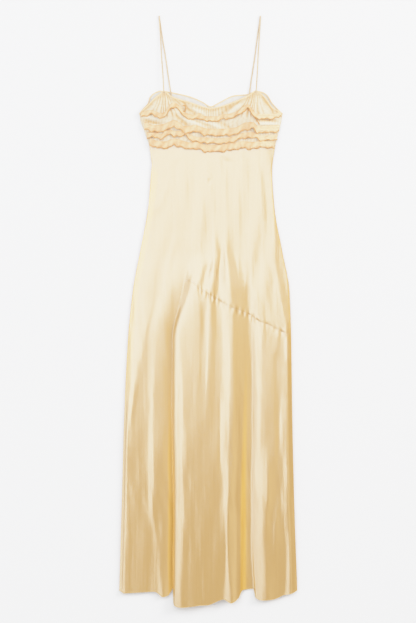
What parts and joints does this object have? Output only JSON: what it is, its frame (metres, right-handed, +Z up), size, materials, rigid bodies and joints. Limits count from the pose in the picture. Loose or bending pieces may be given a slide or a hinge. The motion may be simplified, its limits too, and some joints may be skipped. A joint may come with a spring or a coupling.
{
  "type": "maxi dress laid flat",
  "caption": "Long satin slip dress laid flat, with thin straps, a gathered bodice under wavy ruffles, a slanting skirt seam and loose folds down to the hem.",
  "frame": {"origin": "on the surface that the dress lies on, under the middle of its bounding box", "axes": "+X to the right as seen from above, +Y from the hem towards the strap tips, +Z up out of the surface"},
  "size_m": [0.4456, 1.48, 0.0233],
  "materials": {
    "satin": "glossy bias-cut satin, pale butter yellow",
    "satin_back": "the same satin, plain and flat",
    "sheer_gathered": "gathered matt chiffon, cream",
    "sheer_back": "sheer matt chiffon, pale cream",
    "ruffle": "chiffon with a fine overlocked edge, light peach",
    "strap": "satin rouleau, butter yellow"
  },
  "bodies": {
    "root": {"skirt_front_main": "satin", "skirt_front_inset": "satin", "skirt_back": "satin_back", "bodice_cup_left": "sheer_gathered", "bodice_centre": "sheer_gathered", "bodice_cup_right": "sheer_gathered", "bodice_back": "sheer_back", "ruffle_1_bust": "ruffle", "ruffle_2": "ruffle", "ruffle_3": "ruffle", "ruffle_4_hem": "ruffle", "strap_left": "strap", "strap_right": "strap"}
  },
  "joints": []
}
